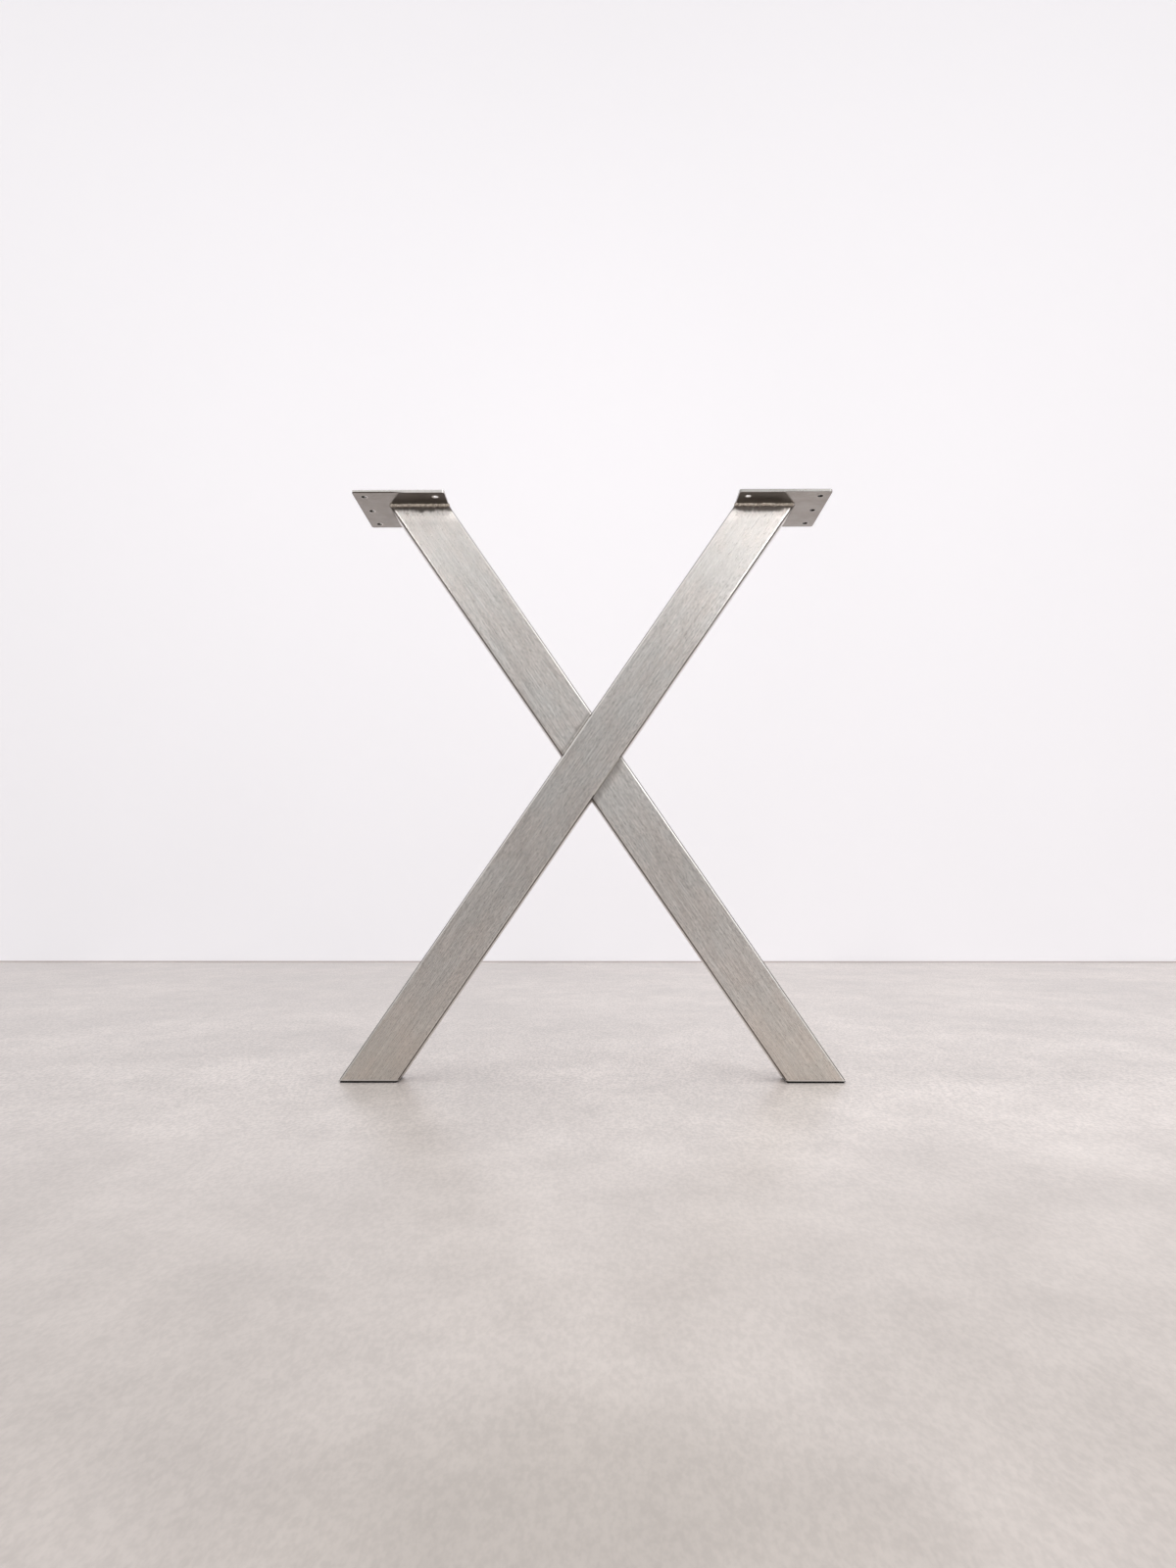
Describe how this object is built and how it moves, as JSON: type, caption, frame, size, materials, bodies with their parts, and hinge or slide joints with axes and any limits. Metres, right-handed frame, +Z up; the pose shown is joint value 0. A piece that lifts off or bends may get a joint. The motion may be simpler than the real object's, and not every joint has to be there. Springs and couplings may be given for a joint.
{
  "type": "table leg",
  "caption": "X shaped table leg of crossed rectangular steel tubes, with flat screw plates on the upper ends and thin rubber pads under the feet.",
  "frame": {"origin": "centre of the footprint on the floor, midway between the feet and at the middle of the tubes' depth", "axes": "+X across the leg from the foot of the through tube to the other foot, +Y from the front face to the rear, +Z up"},
  "size_m": [0.62, 0.11, 0.71],
  "materials": {
    "brushed_tube": "brushed along the tube's length, unlacquered stainless steel",
    "plate_steel": "mill finish with faint rolling marks",
    "cap_steel": "ground flush with the tube",
    "weld_metal": "as welded, rippled and straw coloured by heat",
    "ground_weld": "welded and ground back",
    "black_rubber": "matt black"
  },
  "bodies": {
    "root": {"through_tube": "brushed_tube", "upper_half_tube": "brushed_tube", "lower_half_tube": "brushed_tube", "left_mounting_plate": "plate_steel", "right_mounting_plate": "plate_steel", "left_foot_cap": "cap_steel", "right_foot_cap": "cap_steel", "left_foot_pad": "black_rubber", "right_foot_pad": "black_rubber", "left_plate_weld_front": "weld_metal", "left_plate_weld_rear": "weld_metal", "right_plate_weld_front": "weld_metal", "right_plate_weld_rear": "weld_metal", "crossing_weld_upper_front": "ground_weld", "crossing_weld_upper_rear": "ground_weld", "crossing_weld_lower_front": "ground_weld", "crossing_weld_lower_rear": "ground_weld"}
  },
  "joints": []
}
